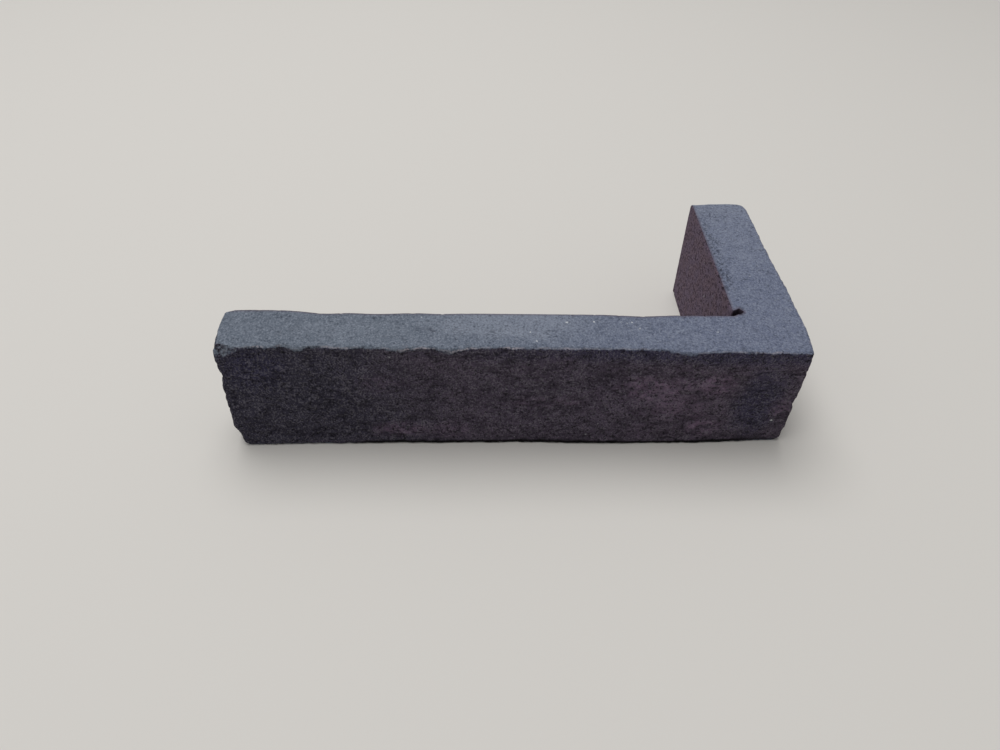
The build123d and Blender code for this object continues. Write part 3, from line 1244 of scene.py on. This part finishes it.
@dataclass(frozen=True)
class FiredClay:
    """The finish of the whole piece: sandy moulded faces, beds with a painted sheen of light from above, and
    sawn faces, with painted shade in hollows, creases, below the front's upper arris and at the floor, and a
    painted highlight on that arris.

    Attributes:
        name: The material's name.
        sheen_green, sheen_violet, arris_highlight_tone, bed_rim, bed_dark, bed_pale: Tones of the beds,
        whose blue-grey ground is a painted sheen of light from above: at the free end and at the wall's
        corner, the painted highlight on the front's upper arris, at the sawn arrises, in its flecks and
        pits, and on its sand.
        moulded_cool and so on: Tones of the skin: bluer, bluest (also the painted shade below the upper
        arris), browner, in its purple-brown patches, its dark speckle and painted shade in its hollows,
        creases and low places, on its sand, and the painted contact shadow in the line at the floor.
        sawn_red and so on: Tones of the sawn body, its pores and its pale grains.
        lime: Tone of the specks.
        specks, faint_specks: Where the plain and the faint specks sit, in millimetres.
        speck_radius, speck_core: How far from its middle a speck ends, and is whole.
        blade_way, blade_across: Which way the blade dragged the body, and square to it.
        roughness: How dull the surface is.
    """

    name: str = "fired_clay"
    sheen_green: Tone = colour(100, 108, 120)
    sheen_violet: Tone = colour(104, 111, 132)
    arris_highlight_tone: Tone = colour(172, 162, 168)
    bed_rim: Tone = colour(96, 84, 98)
    bed_dark: Tone = colour(54, 58, 70)
    bed_pale: Tone = colour(150, 156, 168)
    moulded_cool: Tone = colour(58, 56, 70)
    moulded_cold: Tone = colour(58, 56, 82)
    moulded_warm: Tone = colour(86, 76, 91)
    moulded_plum: Tone = colour(125, 104, 127)
    moulded_dark: Tone = colour(18, 16, 22)
    moulded_sand: Tone = colour(138, 134, 142)
    painted_contact_shadow: Tone = colour(9, 8, 9)
    sawn_red: Tone = colour(101, 88, 105)
    sawn_brown: Tone = colour(101, 85, 96)
    sawn_dark: Tone = colour(44, 34, 44)
    sawn_pale: Tone = colour(146, 130, 142)
    lime: Tone = colour(222, 224, 226)
    specks: tuple[Triple, ...] = (
        (-46.2, -40.7, 48), (5.2, -40.6, 48), (7.4, -45.5, 48), (18.7, -34.7, 48), (28.5, -34.6, 48),
        (72.2, -39.7, 48), (42.2, -34.4, 48), (-15.2, -49.5, 48), (98, -48.8, 12.6), (-101.5, -49.5, 42.8))
    faint_specks: tuple[Triple, ...] = (
        (38.2, -34.5, 48), (40.3, -35, 48), (43.3, -36.7, 48), (44.6, -37.8, 48), (-4, -49.7, 28.4),
        (-2.6, -49.7, 28.3), (-5.2, -49.7, 28.6), (-4.1, -49.5, 43.7), (-16.2, -49.5, 39.6),
        (37.9, -49.5, 38.5), (-44, -49.5, 43.6), (-64, -50, 40.6), (-80.5, -50, 39.5),
        (32.2, -49.5, 11.4), (28.2, -49.5, 5.3), (0.8, -49.5, 3.4), (80.2, -4.3, 37.8),
        (80.2, 15.4, 40.2), (80.2, 32.2, 26.2), (80.2, 6, 30))
    speck_radius: float = 0.42
    speck_core: float = 0.15
    blade_way: Triple = (-0.81, -0.81, 0.58)
    blade_across: Triple = (0.58, 0.58, 0.81)
    roughness: float = 0.95

    def make(self) -> bpy.types.Material:
        """Builds the material, layer by layer."""
        material = bpy.data.materials.new(self.name)
        g = Graph.of(material)
        t = self.textures(g)
        base = g.lay(
            self.moulded(g, t),
            # the beds' painted sheen of light from above
            (t.over, self.bed_sheen(g, t)),
            (g.mark("sawn"), self.cut(g, t)),
            # painted shade in pores, pits, spalls, torn pits and the kerf
            (g.mark("cavity_shade") * 0.75, self.moulded_dark),
            # painted highlight on the front's upper arris
            (self.arris_highlight(g, t), self.arris_highlight_tone),
            # painted contact shadow at the front's foot
            (g.mark("foot"), self.painted_contact_shadow),
            *((share, self.lime) for share in self.sprinkle(g, t)))
        g.finish(Output.MATERIAL, g.node("ShaderNodeBsdfPrincipled", {}, {
            "Base Color": base, "Roughness": self.roughness, "Specular IOR Level": 0.1,
            "Normal": self.grit(g, t)}))
        return material

    def textures(self, g: Graph) -> Textures:
        """Adds the patterns that the layers share."""
        place = g.vector("SCALE", {0: g.place(), "Scale": 1.0 / MM})
        dragged = g.lean(place, self.blade_way, self.blade_across, 0.8)
        skin = g.stretch(place, (1.0, 0.85, 0.85))
        fine, grains = g.noise(skin, 1.05, 2.0, 0.6), g.noise(skin, 0.64, 1.5, 0.6)
        coarse = g.noise(g.stretch(place, (0.9, 1.0, 1.05)), 2.8, 3.0, 0.6)
        lines = g.noise(g.stretch(place, (0.5, 0.8, 1.5)), 2.4, 2.0, 0.5, 0.5)
        crease = (lines - 0.5).size().step(0.045, 0.0) * g.noise(place, 5.0, 1.0, 0.5).step(0.40, 0.60)
        over = (g.mark("bed") + (fine - 0.5) * 0.9 + (coarse - 0.5) * 0.6).step(0.28, 0.70)
        return Textures(place, dragged, fine, grains, coarse, crease, over)

    def moulded(self, g: Graph, t: Textures) -> Signal:
        """The near-black sandy skin, with purple-brown patches, creases and grains of sand, and painted
        shade in its low places, creases, folds and cracks and below its upper arris.
        """
        proud = g.mark("proud")
        return g.lay(
            self.moulded_cool,
            (g.mark("warm"), self.moulded_warm),
            (g.mark("cold") * 0.7, self.moulded_cold),
            (g.mark("plum") * t.coarse.step(0.30, 0.62), self.moulded_plum),
            # painted shade in the low places between lumps
            ((proud + (t.coarse - 0.5) * 1.2).step(0.50, 0.15) * 0.15, self.moulded_dark),
            (t.fine.step(0.49, 0.32) * 0.75, self.moulded_dark),
            ((t.grains + (proud - 0.5) * 0.12).step(0.44, 0.70) * 0.39, self.moulded_sand),
            # painted shade in the creases, folds and cracks
            (t.crease * 0.55, self.moulded_dark),
            (g.mark("fold") * 0.4, self.moulded_dark))

    def bed_sheen(self, g: Graph, t: Textures) -> Signal:
        """The beds' blue-grey tone, a painted sheen of light from above, greener at the free end, with dark
        flecks and pits and a faint painted highlight at the front's upper arris.
        """
        cloud, bed = g.noise(t.place, 6.0, 2.0, 0.6), g.mark("bed")
        # faint painted highlight where the painted sheen meets the front's upper arris
        arris_highlight = bed.step(0.55, 0.7) * bed.step(1.0, 0.85) * g.noise(t.place, 4.0, 2.0, 0.5).step(0.48, 0.62)
        lines = g.noise(g.stretch(t.place, (0.4, 1.0, 1.0)), 2.2, 2.0, 0.5, 0.3)
        return g.lay(
            self.sheen_green,
            (g.mark("violet"), self.sheen_violet),
            (g.mark("pale") * 0.28, self.bed_pale),
            (cloud.step(0.3, 0.7) * 0.10, self.bed_pale),
            (t.coarse.step(0.50, 0.30) * 0.14, self.bed_dark),
            (t.grains.step(0.50, 0.69) * 0.42, self.bed_pale),
            (t.grains.step(0.46, 0.30) * 0.50, self.bed_dark),
            (t.fine.step(0.44, 0.30) * cloud.step(0.62, 0.4) * 0.6, self.bed_dark),
            (arris_highlight * 0.25, self.arris_highlight_tone),
            (g.mark("scored") * (lines - 0.5).size().step(0.06, 0.0) * 0.5, self.bed_dark),
            (g.mark("torn") * t.fine.step(0.50, 0.42) * 0.6, self.bed_dark),
            (g.mark("sawn_edge").step(0.45, 1.0) * 0.4, self.bed_rim))

    def cut(self, g: Graph, t: Textures) -> Signal:
        """The red-brown body that the saw laid bare, with dark pores, pale grains and drag lines."""
        cloud, drag, sand = (g.noise(t.dragged, *row)
                             for row in ((5.5, 3.0, 0.6), (1.7, 4.0, 0.7), (0.8, 3.0, 0.75)))
        return g.lay(
            self.sawn_red,
            (cloud.step(0.38, 0.62) * 0.8, self.sawn_brown),
            (drag.step(0.54, 0.38) * 0.75, self.sawn_dark),
            (sand.step(0.52, 0.66) * 0.62, self.sawn_pale),
            (g.dots(t.dragged, 1.4, 0.35, 0.42) * 0.85, self.sawn_dark))

    def arris_highlight(self, g: Graph, t: Textures) -> Signal:
        """Where the painted highlight shows on the front's upper arris: a broken pale line in the middle of
        the painted sheen's edge.
        """
        bed = g.mark("bed") + (t.fine - 0.5) * 0.5
        return g.mark("arris_highlight") * bed.step(0.42, 0.62) * bed.step(0.98, 0.78) * t.grains.step(0.36, 0.58) * 0.75

    def sprinkle(self, g: Graph, t: Textures) -> list[Signal]:
        """Where the specks show: small ones everywhere, and those with a place of their own."""
        stray = t.fine * 1.6
        shares = [g.dots(t.place, 4.2, 0.02, 0.28) * 0.5]
        for spots, strength in ((self.specks, 0.65), (self.faint_specks, 0.3)):
            for spot in spots:
                far = g.vector("DISTANCE", {0: t.place, 1: spot}, "Value") + stray - 0.8
                shares.append(far.step(self.speck_radius, self.speck_core) * strength)
        return shares

    def grit(self, g: Graph, t: Textures) -> Signal:
        """The finest relief, under the mesh's own: creases and sand, and the blade's drag on the
        sawn faces."""
        sawn, drag = g.mark("sawn"), g.noise(t.dragged, 0.9, 2.0, 0.6)
        height = t.fine * 0.9 + t.grains * 0.4 + t.coarse * (1.2 - t.over * 0.4)
        height = height - t.crease * (0.3 - t.over * 0.25)
        height = height * (1.0 - sawn) * (1.0 - t.over * 0.45) + drag * sawn * 0.2
        return g.node("ShaderNodeBump", {}, {"Strength": 1.0, "Distance": 1.0 * MM, "Height": height})


@dataclass(frozen=True)
class Viewpoint:
    """The camera, at the photograph's viewing angle.

    Attributes:
        place: Where the camera stands, in metres.
        down: How far it looks down, in degrees.
        right: How far it looks to the right of +Y, in degrees.
        roll: How far it leans, in degrees.
        focal_pixels: Its focal length in pixels of the picture.
        picture_width: The picture's width in pixels.
        sensor: Width of its sensor in millimetres.
        clip: Nearest and farthest place that it sees, in metres.
    """

    place: Triple = (-11.49 * MM, -253.64 * MM, 221.06 * MM)
    down: float = 42.261
    right: float = 1.747
    roll: float = 1.578
    focal_pixels: float = 776.81
    picture_width: int = 1000
    sensor: float = 36.0
    clip: Pair = (0.01, 50.0)

    def make(self) -> bpy.types.Object:
        """Builds the camera and makes it the scene's own."""
        down, right, roll = (math.radians(angle) for angle in (self.down, self.right, self.roll))
        flat = np.array([math.sin(right), math.cos(right), 0.0])
        forward = flat * math.cos(down) - np.array([0.0, 0.0, math.sin(down)])
        level = np.array([math.cos(right), -math.sin(right), 0.0])
        up = np.cross(level, forward)
        data = bpy.data.cameras.new("viewpoint")
        data.sensor_fit, data.sensor_width = "HORIZONTAL", self.sensor
        data.lens = self.focal_pixels * self.sensor / self.picture_width
        data.clip_start, data.clip_end = self.clip
        camera = add_object("viewpoint", data)
        camera.matrix_world = axes_matrix(
            math.cos(roll) * level + math.sin(roll) * up,
            math.cos(roll) * up - math.sin(roll) * level, forward, self.place)
        bpy.context.scene.camera = camera
        return camera


@dataclass(frozen=True)
class Lamp:
    """One soft round lamp that faces the piece.

    Attributes:
        name: What the lamp is called.
        place: Where it hangs, in metres.
        size: Its width in metres.
        watts: Its power.
    """

    name: str
    place: Triple
    size: float
    watts: float

    def hang(self) -> bpy.types.Object:
        """Builds the lamp."""
        data = bpy.data.lights.new(self.name, "AREA")
        data.shape, data.size, data.energy = "DISK", self.size, self.watts
        lamp = add_object(self.name, data)
        aim = -unit(np.array(self.place))
        side = unit(np.cross(aim, [0.0, 0.0, 1.0]))
        lamp.matrix_world = axes_matrix(side, np.cross(side, aim), aim, self.place)
        return lamp


@dataclass(frozen=True)
class Studio:
    """A plain pale floor under soft light from above and behind.

    Attributes:
        floor_half: Half the floor's width in metres.
        floor_fade: How far out it starts to fade to its own plain colour, and how far it has.
        floor_colour: Its colour.
        floor_roughness: How dull it is.
        sky: Strength of the even light from all round.
        lamps: The lamps.
    """

    floor_half: float = 6.0
    floor_fade: Pair = (0.7, 1.7)
    floor_colour: Tone = colour(214, 211, 206)
    floor_roughness: float = 0.9
    sky: float = 0.30
    lamps: tuple[Lamp, ...] = each(
        Lamp, ("key", (-0.25, 0.45, 1.6), 1.3, 15.5), ("fill", (-0.35, -0.45, 1.5), 0.7, 5.0))

    def make(self) -> None:
        """Builds the floor, the lamps and the world."""
        self.lay_floor()
        for lamp in self.lamps:
            lamp.hang()
        self.set_world()

    def lay_floor(self) -> None:
        """Lays the floor just under the lower bed. Far from the piece it fades to its plain colour."""
        h = self.floor_half
        mesh = bpy.data.meshes.new("floor")
        mesh.from_pydata([(-h, -h, 0), (h, -h, 0), (h, h, 0), (-h, h, 0)], [], [(0, 1, 2, 3)])
        floor = add_object("floor", mesh)
        material = bpy.data.materials.new("floor")
        g = Graph.of(material)
        lit = g.node("ShaderNodeBsdfPrincipled", {}, {
            "Base Color": self.floor_colour, "Roughness": self.floor_roughness, "Specular IOR Level": 0.1})
        plain = g.node("ShaderNodeEmission", {}, {"Color": self.floor_colour, "Strength": 1.0})
        away = g.vector("LENGTH", {0: g.place()}, "Value").step(*self.floor_fade)
        g.finish(Output.MATERIAL, g.mixed(away * g.seen(), lit, plain))
        mesh.materials.append(material)

    def set_world(self) -> None:
        """Lights the piece evenly from all round, and shows the floor's colour past its edge."""
        world = bpy.context.scene.world = bpy.data.worlds.new("studio")
        g = Graph.of(world)
        light = g.node("ShaderNodeBackground", {}, {"Color": (1.0, 1.0, 1.0, 1.0), "Strength": self.sky})
        plain = g.node("ShaderNodeBackground", {}, {"Color": self.floor_colour, "Strength": 1.0})
        g.finish(Output.WORLD, g.mixed(g.seen(), light, plain))


def corners(pair: Sequence[Any]) -> list[list[float]]:
    """Turns a lowest and a highest corner into plain lists."""
    return [[float(v) for v in corner] for corner in pair]


def main() -> None:
    """Builds the slip, dresses it and sets up the studio."""
    logging.basicConfig(level=logging.INFO, format="%(name)s: %(message)s")
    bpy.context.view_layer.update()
    low, high = (np.array(corner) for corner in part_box(NODE))
    slip = BrickSlip(BentBar(SlipSizes(low, high)))
    piece = slip.build()
    piece.data.materials.append(FiredClay().make())
    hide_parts(NODE)
    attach(piece, "root")
    LOG.info("%s: %d points, %d quads", piece.name, len(slip.points), len(slip.quads))
    Studio().make()
    Viewpoint().make()
    bpy.context.scene.view_settings.view_transform = "Standard"


if __name__ == "__main__":
    main()
